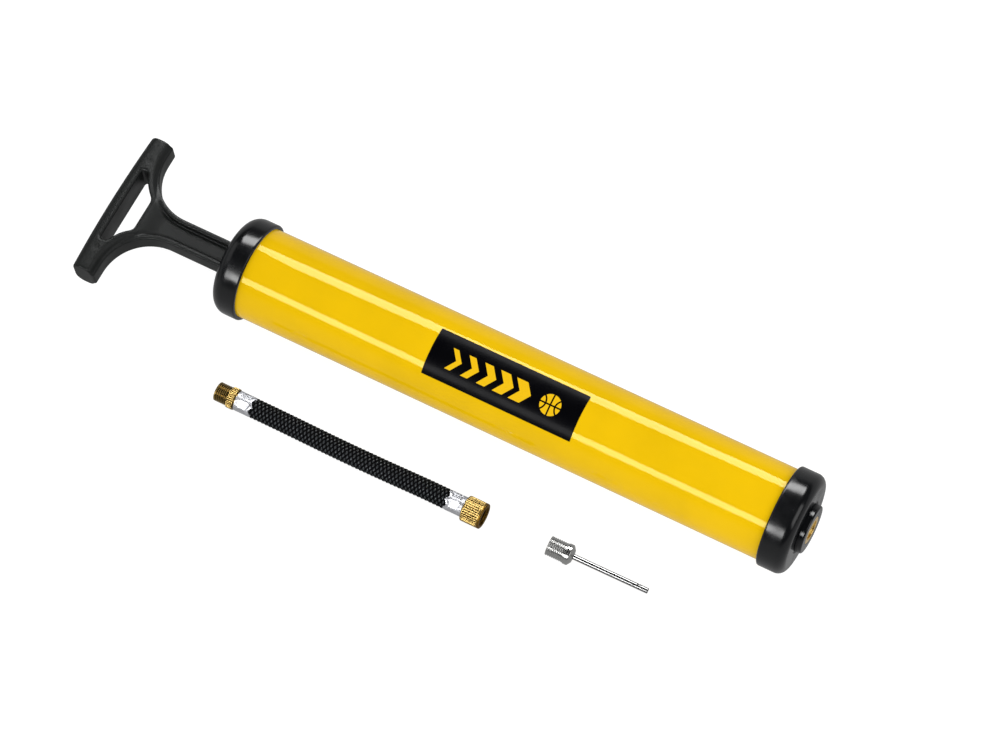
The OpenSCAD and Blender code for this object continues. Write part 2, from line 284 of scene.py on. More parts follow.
def outward(points, quads):
    """The quads, turned over if the volume that they enclose comes out negative."""
    a, b, c, d = (points[quads[:, k]] for k in range(4))
    volume = np.einsum("ij,ij->", a, np.cross(b, c) + np.cross(c, d))
    return quads if volume > 0 else quads[:, ::-1]


def solid(name, points, quads, sharp=35):
    """A smooth mesh object from points in millimetres and quads."""
    mesh = bpy.data.meshes.new(name)
    mesh.vertices.add(len(points))
    mesh.vertices.foreach_set("co", (points * MM).astype(np.float32).ravel())
    mesh.loops.add(quads.size)
    mesh.loops.foreach_set("vertex_index", np.ascontiguousarray(quads, np.int32).ravel())
    mesh.polygons.add(len(quads))
    mesh.polygons.foreach_set("loop_start", np.arange(0, quads.size, 4, dtype=np.int32))
    mesh.polygons.foreach_set("use_smooth", np.ones(len(quads), bool))
    mesh.update(calc_edges=True)
    mesh.validate()
    mesh.set_sharp_from_angle(angle=np.radians(sharp))
    made = bpy.data.objects.new(name, mesh)
    bpy.context.scene.collection.objects.link(made)
    return made


def turned(name, outline, sides, relief=None, place=None, sharp=35):
    """Turns a closed outline of (x, r) about the X axis.

    A point is (x, r cos angle, r sin angle), where r is the outline's radius plus what
    relief(x, r, angle) adds. place moves the points from the piece's own axis."""
    angle = np.arange(sides) * TURN / sides
    x, r = (np.broadcast_to(outline[:, k : k + 1], (len(outline), sides)) for k in (0, 1))
    angle = np.broadcast_to(angle, x.shape)
    grown = r if relief is None else r + relief(x, r, angle)
    points = np.stack([x, grown * np.cos(angle), grown * np.sin(angle)], 2).reshape(-1, 3)
    if place is not None:
        points = place(points)
    return solid(name, points, outward(points, grid_quads(len(outline), sides)), sharp)


def ramp(value, start, end):
    """Rises from 0 at start to 1 at end, with a soft foot and a soft top."""
    t = np.clip((value - start) / (end - start), 0, 1)
    return t * t * (3 - 2 * t)


def thread_relief(metal, x, angle, start, end, share=1.0):
    """A helical groove: a rounded triangle wave of x and the angle, fading at both ends."""
    pitch, depth = metal.pitch / MM, share * metal.thread_depth / MM
    phase = x / pitch - angle / TURN
    wave = np.abs(2 * (phase - np.floor(phase)) - 1)
    fade = ramp(x, start, start + pitch) * ramp(x, end, end - pitch)
    return -depth * fade * ramp(wave, 0.1, 0.9)


def scallop(angle):
    """How far the ferrule's end stands back at this angle: six rounded notches."""
    return 1.2 * np.abs(np.sin(3 * angle + 0.5)) ** 1.2


def knurl_relief(metal, x, angle, start, end):
    """Straight grooves between rounded ridges, fading over a short way at both ends."""
    runout = 0.6
    wave = np.abs(np.sin(angle * metal.ridges / 2))
    fade = ramp(x, start, start + runout) * ramp(x, end, end - runout)
    return -metal.knurl_depth / MM * fade * (1 - wave) ** 1.4


def round_min(a, b, r):
    """Union of two distances with a fillet of radius r where they meet."""
    return np.maximum(r, np.minimum(a, b)) - np.hypot(np.maximum(r - a, 0), np.maximum(r - b, 0))


def round_max(a, b, r):
    """Intersection of two distances with an edge rounded to radius r."""
    return np.minimum(-r, np.maximum(a, b)) + np.hypot(np.maximum(a + r, 0), np.maximum(b + r, 0))


def surface_net(field, axes):
    """Quads round the part of a grid where the field is negative.

    Every cell that the surface crosses gets one point, at the mean of the crossings on its
    edges, and every crossed edge inside the grid gets the quad of its four cells' points."""
    cells = tuple(n - 1 for n in field.shape)
    total, count = np.zeros(cells + (3,)), np.zeros(cells)
    grid = np.stack(np.meshgrid(*axes, indexing="ij"), 3)
    for axis in range(3):
        near = [slice(None)] * 3
        far = [slice(None)] * 3
        near[axis], far[axis] = slice(None, -1), slice(1, None)
        a, b = field[tuple(near)], field[tuple(far)]
        crossed = (a < 0) != (b < 0)
        part = np.where(crossed, a / np.where(crossed, a - b, 1), 0)[..., None]
        point = grid[tuple(near)] * (1 - part) + grid[tuple(far)] * part
        point *= crossed[..., None]
        others = [k for k in range(3) if k != axis]
        for shift in ((0, 0), (0, 1), (1, 0), (1, 1)):
            window = [slice(None)] * 3
            for k, s in zip(others, shift):
                window[k] = slice(s, cells[k] + s)
            total += point[tuple(window)]
            count += crossed[tuple(window)]
    used = count > 0
    label = np.cumsum(used).reshape(cells) - 1
    quads = []
    for axis in range(3):
        order = (axis, (axis + 1) % 3, (axis + 2) % 3)
        inside, cell = (field < 0).transpose(order), label.transpose(order)
        low, high = inside[:-1, 1:-1, 1:-1], inside[1:, 1:-1, 1:-1]
        i, j, k = np.nonzero(low != high)
        ring = np.stack([cell[i, j, k], cell[i, j + 1, k], cell[i, j + 1, k + 1], cell[i, j, k + 1]], 1)
        ring[high[i, j, k]] = ring[high[i, j, k], ::-1]
        quads.append(ring)
    return total[used] / count[used, None], np.vstack(quads)


def settled(points, field, rounds=4, step=0.02):
    """Moves points onto the surface where the field is zero, along its slope."""
    for _ in range(rounds):
        slope = np.stack(
            [
                (field(*(points + step * e).T) - field(*(points - step * e).T)) / (2 * step)
                for e in np.eye(3)
            ],
            1,
        )
        size = np.maximum((slope**2).sum(1), 0.25)
        move = np.clip(field(*points.T) / size, -0.2, 0.2)
        points = points - slope * move[:, None]
    return points


# ---------------------------------------------------------------- finishes


class Wire:
    """A node's output. Arithmetic on it adds Math nodes to its finish."""

    def __init__(self, finish, socket):
        self.finish = finish
        self.socket = socket

    def calc(self, operation, first, second=0.0):
        return self.finish.node("ShaderNodeMath", {"operation": operation}, {0: first, 1: second})

    def __add__(self, other):
        return self.calc("ADD", self, other)

    def __sub__(self, other):
        return self.calc("SUBTRACT", self, other)

    def __mul__(self, other):
        return self.calc("MULTIPLY", self, other)

    def __truediv__(self, other):
        return self.calc("DIVIDE", self, other)

    __radd__ = __add__
    __rmul__ = __mul__

    def size(self):
        return self.calc("ABSOLUTE", self)

    def power(self, exponent):
        return self.calc("POWER", self, exponent)

    def part(self):
        """What is left above the whole number."""
        return self.calc("FRACT", self)

    def hypot(self, other):
        return self.calc("SQRT", self * self + other * other)

    def angle(self, other):
        return self.calc("ARCTAN2", self, other)

    def least(self, other):
        return self.calc("MINIMUM", self, other)

    def most(self, other):
        return self.calc("MAXIMUM", self, other)

    def between(self, low, high, start=0.0, end=1.0):
        """Start below low, end above high, and a smooth step between them."""
        return self.finish.node(
            "ShaderNodeMapRange",
            {"interpolation_type": "SMOOTHSTEP"},
            {"Value": self, "From Min": low, "From Max": high, "To Min": start, "To Max": end},
        )


class Finish:
    """A material with one Principled shader, and the nodes that feed it."""

    def __init__(self, name, colour, **looks):
        self.material = bpy.data.materials.new(name)
        self.material.use_nodes = True
        self.tree = self.material.node_tree
        self.shader = self.tree.nodes["Principled BSDF"].inputs
        self.base = (*colour, 1.0)
        self.material.diffuse_color = self.base
        self.drive(Base_Color=self.base, **looks)
        self.place = self.node("ShaderNodeTexCoord", {}, {}, "Object")

    def feed(self, inlet, value):
        """Links a wire to an input, or writes a plain value on it."""
        if isinstance(value, Wire):
            self.tree.links.new(value.socket, inlet)
        else:
            inlet.default_value = value

    def drive(self, **sources):
        """Feeds the shader's inputs. An underscore in a name stands for a space."""
        for socket, value in sources.items():
            self.feed(self.shader[socket.replace("_", " ")], value)

    def node(self, kind, settings, inlets, outlet=0):
        """Adds a node: its settings first, then its inputs, and gives back one output."""
        made = self.tree.nodes.new(kind)
        for key, value in settings.items():
            setattr(made, key, value)
        for key, value in inlets.items():
            self.feed(made.inputs[key], value)
        return Wire(self, made.outputs[outlet])

    def along(self, axis):
        """One object coordinate, in millimetres."""
        return self.node("ShaderNodeSeparateXYZ", {}, {0: self.place}, axis) * (1 / MM)

    def noise(self, size, detail=2.0, stretch=(1, 1, 1), roughness=0.5):
        """Noise whose spots are about size millimetres wide, stretched along the axes."""
        where = self.node("ShaderNodeMapping", {}, {"Vector": self.place, "Scale": stretch})
        inlets = {"Vector": where, "Scale": 1 / (size * MM), "Detail": detail, "Roughness": roughness}
        return self.node("ShaderNodeTexNoise", {}, inlets)

    def blend(self, factor, first, second):
        """Mixes two colours."""
        inlets = {"Factor": factor, "A": first, "B": second}
        return self.node("ShaderNodeMix", {"data_type": "RGBA"}, inlets, "Result")

    def away(self, side, height):
        """Distance in millimetres from an axis that lies along X."""
        return (self.along(1) - float(side)).hypot(self.along(2) - float(height))

    def bump(self, height, depth):
        """Bump whose height is given in parts of a depth in millimetres."""
        inlets = {"Height": height, "Distance": depth * MM}
        self.drive(Normal=self.node("ShaderNodeBump", {}, inlets))


def shaded(tone, factor):
    """A colour made lighter or darker."""
    return tuple(min(1.0, channel * factor) for channel in tone[:3]) + (1.0,)


def enamel_finish(body):
    """Sprayed enamel, glossy, with a slight unevenness in colour and surface."""
    finish = Finish("yellow_enamel", body.enamel, Roughness=body.gloss)
    finish.drive(Specular_IOR_Level=0.27, Specular_Tint=(0.95, 1.0, 0.5, 1.0))
    cloud = finish.noise(24, 3)
    tone = finish.blend(cloud.between(0.3, 0.75), finish.base, shaded(finish.base, 0.93))
    finish.drive(Base_Color=tone)
    gloss = finish.noise(5, 4).between(0.3, 0.8, body.gloss * 0.8, body.gloss * 1.4)
    finish.drive(Roughness=gloss)
    finish.bump(finish.noise(1.6, 2), 0.004)
    return finish.material


def ball_mark(across, up, radius):
    """A filled circle with a ball's seams left open: two straight and two bowed ones."""
    disc = across.hypot(up).between(radius, radius - 0.08)
    seam = across.size().least(up.size())
    for side in (-1, 1):
        bow = (across + side * radius * 1.32).hypot(up) - radius * 0.86
        seam = seam.least(bow.size())
    return disc * seam.between(0.28, 0.36)


def chevron_mark(across, up, half_height, half_width):
    """A band bent into an arrowhead that points along +across."""
    slant = (across + up.size() * 0.75).size().between(half_width + 0.04, half_width - 0.04)
    return slant * up.size().between(half_height + 0.04, half_height - 0.04)


def label_finish(body):
    """Black film with a printed ball and a row of arrowheads, growing towards the ball."""
    finish = Finish("label_film", body.film, Roughness=0.3)
    finish.drive(Coat_Weight=0.015, Coat_Roughness=0.12, Specular_IOR_Level=0.03)
    low, high = node_box("label")
    lean = np.radians(16)
    wrap = 18.8  # radius that the print's height is measured at
    ball, spacing = 19.5, 7.1  # the ball's place along the label and the arrowheads' spacing
    radius = body.mark_height / MM / 2
    y, z = finish.along(1), finish.along(2)
    up = (y.angle(z) + lean) * wrap
    across = finish.along(0) - float((low[0] + high[0]) / 2)
    mark = ball_mark(across - ball, up, radius)
    for k in range(5):
        arrow = chevron_mark(across + (ball - spacing * k), up, radius, 1.2 + 0.3 * k)
        mark = mark.most(arrow)
    worn = finish.noise(0.5, 3).between(0.2, 0.5, 0.9, 1.0)
    ink = (*body.print_ink, 1.0)
    finish.drive(Base_Color=finish.blend(mark * worn, finish.base, ink))
    finish.drive(Roughness=finish.noise(8, 3).between(0.3, 0.8, 0.26, 0.36))
    finish.bump(mark + finish.noise(1.2, 2) * 0.3, 0.012)
    return finish.material


def moulded(finish, spots, patch, shade, gloss, grain, depth):
    """Clouds a finish's colour and gloss with one noise and its surface with another.

    patch and gloss are steps of the first noise, and shade is how much lighter or darker
    the patches are."""
    cloud = finish.noise(*spots)
    patches = cloud.between(*patch) if patch else cloud
    finish.drive(
        Base_Color=finish.blend(patches, finish.base, shaded(finish.base, shade)),
        Roughness=cloud.between(*gloss),
    )
    finish.bump(finish.noise(*grain), depth)
    return finish.material


def cap_finish(body):
    """Glossy moulded plastic with faint flow marks and a little dust in its gloss."""
    finish = Finish("black_gloss", body.cap, Roughness=0.2, Specular_IOR_Level=0.4)
    return moulded(finish, (7, 5), (0.4, 0.8), 1.5, (0.35, 0.75, 0.17, 0.28), (2.4, 3), 0.01)


def handle_finish(handle):
    """Satin moulded plastic with a fine spark grain and paler rubbed patches."""
    finish = Finish("charcoal_plastic", handle.plastic, Roughness=0.42)
    finish.drive(Specular_IOR_Level=0.28)
    rubbed = finish.noise(9, 4)
    tone = finish.blend(rubbed.between(0.35, 0.8), finish.base, shaded(finish.base, 1.25))
    finish.drive(Base_Color=tone)
    finish.drive(Roughness=rubbed.between(0.3, 0.8, 0.5, 0.38))
    grain = finish.noise(handle.grain / MM, 2) + finish.noise(3.5, 2) * 0.8
    finish.bump(grain, 0.02)
    return finish.material


def metal_finish(name, tone, roughness, brushed=(1, 1, 1), dirt=0.2):
    """Bare metal with fine tool marks and spots of dull oxide in its gloss."""
    finish = Finish(name, tone, Metallic=1.0, Roughness=roughness)
    spots = finish.noise(1.7, 5, roughness=0.65)
    finish.tone = finish.blend(spots.between(0.45, 0.8), finish.base, shaded(finish.base, 1 - dirt))
    finish.drive(Base_Color=finish.tone)
    marks = finish.noise(0.5, 3, brushed)
    finish.drive(Roughness=marks.between(0.3, 0.8, roughness * 0.75, roughness * 1.35))
    finish.bump(marks, 0.002)
    return finish


def paint_groove_shade(finish, side, height, crests):
    """Darkens the base colour towards the bottom of the grooves round an axis along X: painted shade.

    crests holds pairs of radii: a groove's bottom and its crest."""
    radius = finish.away(side, height)
    depth = None
    for low, high in crests:
        groove = radius.between(low - 0.1, low) * radius.between(high, low).power(0.6)
        depth = groove if depth is None else depth.most(groove)
    # painted shade: the colour falls to a sixth of the base in the grooves' bottoms
    finish.tone = finish.blend(depth, finish.tone, shaded(finish.base, 0.16))
    finish.drive(Base_Color=finish.tone)


def brass_finish(metal):
    """Turned brass, with painted shade in the grooves of the hose fitting's thread and knurl."""
    finish = metal_finish("brass", metal.brass, 0.3, (1, 0.2, 0.2), 0.3)
    depth, knurl = metal.thread_depth / MM, metal.knurl_depth / MM
    paint_groove_shade(finish, *axis_of("hose_fitting"), [(THREAD_R - depth, 3.85), (COLLAR_R - knurl, 4.3)])
    return finish.material


def nut_finish(metal):
    """Turned brass that has gone dark round its mouth and inside."""
    finish = metal_finish("brass_nut", metal.brass, 0.3, (1, 0.2, 0.2), 0.3)
    mouth = float(node_box("swivel_nut")[1][0])
    side, height = axis_of("swivel_nut")
    # painted shade in the grooves of the knurl
    paint_groove_shade(finish, side, height, [(NUT_R - metal.knurl_depth / MM, 5.15)])
    radius = finish.away(side, height)
    rim = finish.along(0).between(mouth - 1.15, mouth - 0.75)
    inside = radius.between(4.3, 4.0)
    dark = rim.most(inside) * finish.noise(0.9, 4).between(0.2, 0.55, 0.75, 1.0)
    tarnish = (*metal.tarnish, 1.0)
    finish.drive(Base_Color=finish.blend(dark, finish.tone, tarnish))
    finish.drive(Roughness=dark * 0.25 + 0.28)
    return finish.material


def braid_finish(hose):
    """Shiny synthetic yarn, black in its valleys, with a painted highlight that makes the crowns of the
    braid pale.

    It counts the two families of yarns as the braid's surface does, about a centre line
    that rises from one ferrule to the other."""
    finish = Finish("black_braid", hose.yarn, Roughness=0.35)
    finish.drive(Specular_IOR_Level=0.03, Coat_Roughness=0.2)
    x, y, z = (finish.along(axis) for axis in range(3))
    near, far = HOSE_ROUTE[2], HOSE_ROUTE[11]
    height = x.between(near[0] / MM, far[0] / MM, near[2] / MM, far[2] / MM)
    angle = (z - height).angle(y - near[1] / MM)
    run, turns = x / (hose.pick / MM), angle * (hose.carriers / TURN)
    first, second = run + turns, run - turns
    u, v = first.part(), second.part()
    odd = ((first - u + second - v) * 0.5).part() * 2
    across, along = u + (v - u) * odd - 0.5, v + (u - v) * odd - 0.5
    fibre = finish.noise(0.2, 2)
    crown = across.size().between(0.42, 0.08) * along.size().between(0.44, 0.16)
    crown = crown * fibre.between(0.3, 0.6, 0.3, 1)
    # painted highlight: the crowns take the pale glint colour, speckled by the fibre noise
    finish.drive(Base_Color=finish.blend(crown, finish.base, (*hose.glint, 1.0)))
    finish.drive(Roughness=crown.between(0.0, 0.6, 0.8, 0.4))
    finish.drive(Coat_Weight=crown.between(0.4, 0.9, 0.0, 0.6))
    finish.bump(fibre, 0.012)
    return finish.material


def rubber_finish():
    """Moulded black rubber."""
    finish = Finish("black_rubber", (0.02, 0.02, 0.02), Roughness=0.6)
    return moulded(finish, (1.5, 4), None, 2.2, (0.3, 0.8, 0.5, 0.75), (0.4, 2), 0.02)


def white_finish():
    """Natural white moulded plastic."""
    finish = Finish("white_plastic", (0.72, 0.71, 0.66), Roughness=0.4)
    return moulded(finish, (4, 3), None, 0.88, (0.3, 0.8, 0.34, 0.48), (0.8, 2), 0.01)


def floor_finish():
    """Pale paper lit from behind, so that shadows on it stay faint."""
    finish = Finish("pale_floor", (0.25, 0.25, 0.25), Roughness=0.9, Specular_IOR_Level=0.0)
    finish.drive(Emission_Color=(1, 1, 1, 1), Emission_Strength=0.9)
    return finish.material


# ---------------------------------------------------------------- pieces


def dress(piece, material, body, slot, *nodes):
    """Gives a piece its finish and its body, and hides the nodes it stands for. slot is not used."""
    piece.data.materials.append(material)
    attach(piece, body)
    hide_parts(*nodes)
    return piece


def shifted(side, height):
    """Moves a piece's points from the X axis to a parallel axis."""
    return lambda points: points + np.array([0, side, height])


def needle_place(points):
    """Lays the needle's own frame on the surface: tilted nose down, then turned."""
    ct, st = np.cos(NEEDLE_TILT), np.sin(NEEDLE_TILT)
    cy, sy = np.cos(NEEDLE_YAW), np.sin(NEEDLE_YAW)
    tilt = np.array([[ct, 0, st], [0, 1, 0], [-st, 0, ct]])
    yaw = np.array([[cy, -sy, 0], [sy, cy, 0], [0, 0, 1]])
    return points @ (yaw @ tilt).T + NEEDLE_FACE


class PumpOperator:
    """What the operators share."""

    bl_options = {"REGISTER", "UNDO"}

    def execute(self, context):
        self.build(context.scene)
        return {"FINISHED"}


class PUMP_OT_stage(PumpOperator, bpy.types.Operator):
    """Adds the camera, the floor and the lights"""

    bl_idname = "pump.add_stage"
    bl_label = "Stage"

    def build(self, scene):
        stage = scene.pump_stage
        target = np.array([-0.1342, 0.0038, 0.0])
        a, e, r = np.radians([stage.azimuth, stage.elevation, stage.roll])
        back = np.array([np.sin(a) * np.cos(e), -np.cos(a) * np.cos(e), np.sin(e)])
        level = np.array([np.cos(a), np.sin(a), 0.0])
        right = np.cos(r) * level + np.sin(r) * np.cross(back, level)
        self.aim(scene, stage, target + back * stage.distance, right, back)
        floor = bpy.data.meshes.new("floor")
        half = 12.0
        corners = [(x, y, FLOOR_Z) for x, y in ((-half, -half), (half, -half), (half, half), (-half, half))]
        floor.from_pydata(corners, [], [(0, 1, 2, 3)])
        floor.materials.append(floor_finish())
        ground = bpy.data.objects.new("floor", floor)
        scene.collection.objects.link(ground)
        ground.visible_glossy = False  # the studio's own lower half stands in for it in gloss
        # long strips whose reflections are the pale stripes along the barrel
        far = self.strip("strip_far", (-0.56, 0.40, 0.57), (-0.02, 0.585, 0.42), 0.23, stage.strip)
        near = self.strip("strip_near", (-0.56, -0.52, 0.42), (-0.02, -0.57, 0.42), 0.17, stage.strip)
        far.visible_diffuse = near.visible_diffuse = False
        # broad overhead light that gives the colours their brightness and no gloss
        key = self.strip("key", (-1.0, -0.35, 1.5), (0.6, -0.35, 1.5), 1.6, stage.key)
        key.visible_glossy = False
        # soft panels beyond the pump's two ends, outside the barrel's mirror directions
        self.strip("fill_left", (-1.25, -0.5, 0.75), (-1.25, 0.5, 0.75), 0.8, stage.fill / 3)
        self.strip("fill_right", (0.95, -0.5, 0.85), (0.95, 0.5, 0.85), 0.8, stage.fill)
        self.surroundings(scene)
        scene.view_settings.view_transform = "Standard"

    def surroundings(self, scene):
        """An even pale room, but in gloss a dim band at the horizon under a dark ceiling."""
        world = bpy.data.worlds.new("studio")
        world.use_nodes = True
        tree = world.node_tree
        kinds = ("TexCoord", "SeparateXYZ", "LightPath", "MapRange", "MapRange")
        place, split, path, band, choice = (tree.nodes.new("ShaderNode" + kind) for kind in kinds)
        band.interpolation_type = "SMOOTHSTEP"
        for socket, value in (("From Min", 0.02), ("From Max", 0.3), ("To Min", 0.42), ("To Max", 0.02)):
            band.inputs[socket].default_value = value
        choice.inputs["To Min"].default_value = scene.pump_stage.ambient
        background = tree.nodes["Background"].inputs
        background["Color"].default_value = (1, 1, 1, 1)
        for outlet, inlet in (
            (place.outputs["Generated"], split.inputs[0]),
            (split.outputs["Z"], band.inputs["Value"]),
            (path.outputs["Is Glossy Ray"], choice.inputs["Value"]),
            (band.outputs[0], choice.inputs["To Max"]),
            (choice.outputs[0], background["Strength"]),
        ):
            tree.links.new(outlet, inlet)
        scene.world = world

    def aim(self, scene, stage, where, right, back):
        """Makes the camera from its place, its right-hand side and its back."""
        data = bpy.data.cameras.new("camera")
        data.lens, data.sensor_width = stage.lens, 36
        data.clip_start, data.clip_end = 0.05, 20
        camera = bpy.data.objects.new("camera", data)
        turn = np.eye(4)
        turn[:3] = np.stack([right, np.cross(back, right), back, where], 1)
        camera.matrix_world = Matrix(turn)
        scene.collection.objects.link(camera)
        scene.camera = camera

    def strip(self, name, start, end, width, radiance):
        """A rectangular light between two points, facing the barrel's middle."""
        start, end = np.array(start), np.array(end)
        long, middle = end - start, (start + end) / 2
        data = bpy.data.lights.new(name, "AREA")
        data.shape, data.size, data.size_y = "RECTANGLE", float(np.linalg.norm(long)), width
        data.energy = radiance * np.pi * data.size * width
        back = middle - np.array([-0.125, 0, 0])
        back -= long * (back @ long) / (long @ long)
        back /= np.linalg.norm(back)
        along = long / np.linalg.norm(long)
        turn = np.eye(4)
        turn[:3] = np.stack([along, np.cross(back, along), back, middle], 1)
        lamp = bpy.data.objects.new(name, data)
        lamp.matrix_world = Matrix(turn)
        lamp.visible_camera = False
        bpy.context.scene.collection.objects.link(lamp)
        return lamp


class PUMP_OT_hose_ends(PumpOperator, bpy.types.Operator):
    """Adds the threaded fitting, the two ferrules and the swivel nut"""

    bl_idname = "pump.add_hose_ends"
    bl_label = "Hose Ends"

    def build(self, scene):
        metal = scene.pump_metal
        self.fitting(metal)
        self.nut(metal)
        shiny = metal_finish("aluminium", metal.aluminium, 0.5, (0.3, 1, 1), 0.12).material
        self.ferrule("ferrule_front", "hose_ferrule_front", shiny)
        self.ferrule("ferrule_rear", "hose_ferrule_rear", shiny)

    def fitting(self, metal):
        """Turned outline of thread, knurled collar, neck and barb, with a passage through."""
        low, high = node_box("hose_fitting")
        x0, x2 = low[0], high[0]
        x1 = x0 + 5.7  # collar's near face
        x3 = x1 + 3.3  # ferrule's end
        neck, barb, passage = 3.2, 1.35, 0.8  # radii
        outline = rounded([
            (x0, passage, 0.1), (x0, THREAD_R, 0.45), (x1, THREAD_R, 0.1), (x1, COLLAR_R, 0.25),
            (x3 - 0.5, COLLAR_R, 0.25), (x3 - 0.5, neck, 0.1), (x3 + 0.5, neck, 0.1),
            (x3 + 0.5, barb, 0.1), (x2, barb, 0.2), (x2, passage, 0.1),
        ])

        def relief(x, r, angle):
            thread = thread_relief(metal, x, angle, x0 + 0.2, x1 - 0.1)
            knurl = knurl_relief(metal, x, angle, x1, x3 - 0.5)
            return thread * (r > 3.4) * (x < x1) + knurl * (r > 4.0) * (x >= x1)

        place = shifted(*axis_of("hose_fitting"))
        piece = turned("hose_thread", refined(outline, 0.1, 3), 10 * metal.ridges, relief, place, 60)
        dress(piece, brass_finish(metal), "hose", "brass", "hose_fitting")

    def nut(self, metal):
        """Turned outline of the nut: knurled outside, threaded mouth, relief and end wall."""
        low, high = node_box("swivel_nut")
        x0, x1 = low[0], high[0]
        neck, relieved = 2.48, 4.1  # radii of the hole for the tail and of the seal's room
        grip, wall = 3.5, 1.5  # lengths of the thread and of the end wall
        outline = rounded([
            (x0, neck, 0.1), (x0, NUT_R, 0.45), (x1, NUT_R, 0.4), (x1, THREAD_R, 0.3),
            (x1 - grip, THREAD_R, 0.05), (x1 - grip, relieved, 0.05), (x0 + wall, relieved, 0.2),
            (x0 + wall, neck, 0.1),
        ])

        def relief(x, r, angle):
            knurl = knurl_relief(metal, x, angle, x0 + 0.3, x1 - 1.0)
            thread = thread_relief(metal, x, angle, x1 - grip, x1 - 0.2)
            return knurl * (r > 4.9) + thread * (r < 3.95) * (r > 3.5)

        place = shifted(*axis_of("swivel_nut"))
        piece = turned("hose_nut", refined(outline, 0.11, 3.4), 10 * metal.ridges, relief, place, 60)
        dress(piece, nut_finish(metal), "nut", "brass", "swivel_nut")

    def ferrule(self, name, node, material):
        """A sleeve pressed by six flat dies whose ends curve away from the hose.

        The radius is the lesser of the sleeve's own and a die's: its flat over the cosine
        of the angle from its middle, raised by a rounded step near the die's ends."""
        low, high = node_box(node)
        x0, x1 = low[0], high[0]
        bore, sleeve, pressed_to = 3.35, 4.05, 3.74
        outline = rounded([(x0, bore, 0.12), (x0, sleeve, 0.2), (x1, sleeve, 0.2), (x1, bore, 0.12)])

        def relief(x, r, angle):
            turn = angle - np.round(angle / (TURN / 6)) * (TURN / 6)
            end = np.abs(x - (x0 + x1) / 2) - (x1 - x0) / 2 + 2.3
            die = (pressed_to + 0.2 * np.maximum(end, 0) ** 1.7) / np.cos(turn)
            pressed = -round_max(-die, -r, 0.3) - r
            return np.minimum(pressed, 0) * (r > 3.7)

        def place(points):
            """Draws the end over the braid back into six scallops."""
            braid_side = 1 if name == "ferrule_front" else -1
            reach = ramp(braid_side * (points[:, 0] - (x0 + x1) / 2), 0.5, (x1 - x0) / 2)
            back = scallop(np.arctan2(points[:, 2], points[:, 1])) * reach
            points = points - np.outer(braid_side * back, [1, 0, 0])
            return shifted(*axis_of(node))(points)

        piece = turned(name, refined(outline, 0.12), 180, relief, place, 60)
        dress(piece, material, "hose", "aluminium", node)


class PUMP_OT_hose(PumpOperator, bpy.types.Operator):
    """Adds the braid over the hose"""

    bl_idname = "pump.add_hose"
    bl_label = "Braided Hose"

    def build(self, scene):
        """The braid's radius falls between the crossings of two families of helices.

        A family's count is its carriers times the angle, plus or minus the run along the
        hose over the pick. In each cell between whole counts the yarn on top is the first
        family's where the cell's two counts add up to an even number, otherwise the
        second's, and its height is a cosine across the yarn and half a cosine along it."""
        hose = scene.pump_hose
        route = np.array(HOSE_ROUTE) / MM
        grip0, grip1 = node_box("hose_ferrule_front")[1][0], node_box("hose_ferrule_rear")[0][0]
        tucked, core = 2.4, 3.3  # how far it runs on inside a ferrule, and its radius there
        x0, x1 = grip0 - tucked, grip1 + tucked
        run = np.arange(x0, x1, hose.pick / MM / 10)
        sides = 16 * hose.carriers
        x, angle = np.meshgrid(run, np.arange(sides) * TURN / sides, indexing="ij")
        first = x / (hose.pick / MM) + hose.carriers * angle / TURN
        second = x / (hose.pick / MM) - hose.carriers * angle / TURN
        u, v = first - np.floor(first) - 0.5, second - np.floor(second) - 0.5
        even = (np.floor(first) + np.floor(second)) % 2 < 1
        across, along = np.where(even, u, v), np.where(even, v, u)
        height = np.cos(np.pi * across) ** 0.7 * (0.55 + 0.45 * np.cos(np.pi * along))
        start, stop = grip0 - scallop(angle), grip1 + scallop(angle)
        free = ramp(x, start - 0.15, start + 0.45) * ramp(x, stop + 0.15, stop - 0.45)
        full = node_box("hose_ferrule_front")[1][2] - axis_of("hose_ferrule_front")[1]
        radius = core + free * (full + 0.05 - core) - hose.relief / MM * (1 - height) * free
        inner = run[::-12]
        x = np.vstack([x, np.repeat(inner[:, None], sides, 1)])
        radius = np.vstack([radius, np.full((len(inner), sides), 3.0)])
        angle = np.broadcast_to(angle[:1], x.shape)
        centre = [self.smooth(x, route[:, 0], route[:, k]) for k in (1, 2)]
        points = np.stack(
            [x, centre[0] + radius * np.cos(angle), centre[1] + radius * np.sin(angle)], 2
        ).reshape(-1, 3)
        quads = grid_quads(len(x), sides)
        braid = solid("hose_braid_woven", points, outward(points, quads), 60)
        dress(braid, braid_finish(hose), "hose", "black_braid", "hose_braid")
        path = [p for p in HOSE_ROUTE if x0 * MM < p[0] < x1 * MM]
        ends = [(x * MM, *[float(self.smooth(np.array(x), route[:, 0], route[:, k])) * MM for k in (1, 2)])
                for x in (x0, x1)]
        path = [ends[0], *path, ends[1]]

    def smooth(self, x, knots, values):
        """Cubic through the route's points whose slope at a point is that of its neighbours."""
        slope = np.gradient(values, knots)
        i = np.clip(np.searchsorted(knots, x) - 1, 0, len(knots) - 2)
        gap = knots[i + 1] - knots[i]
        t = (x - knots[i]) / gap
        a, b = values[i], values[i + 1]
        return (
            (1 + 2 * t) * (1 - t) ** 2 * a
            + t * (1 - t) ** 2 * gap * slope[i]
            + t * t * (3 - 2 * t) * b
            + t * t * (t - 1) * gap * slope[i + 1]
        )


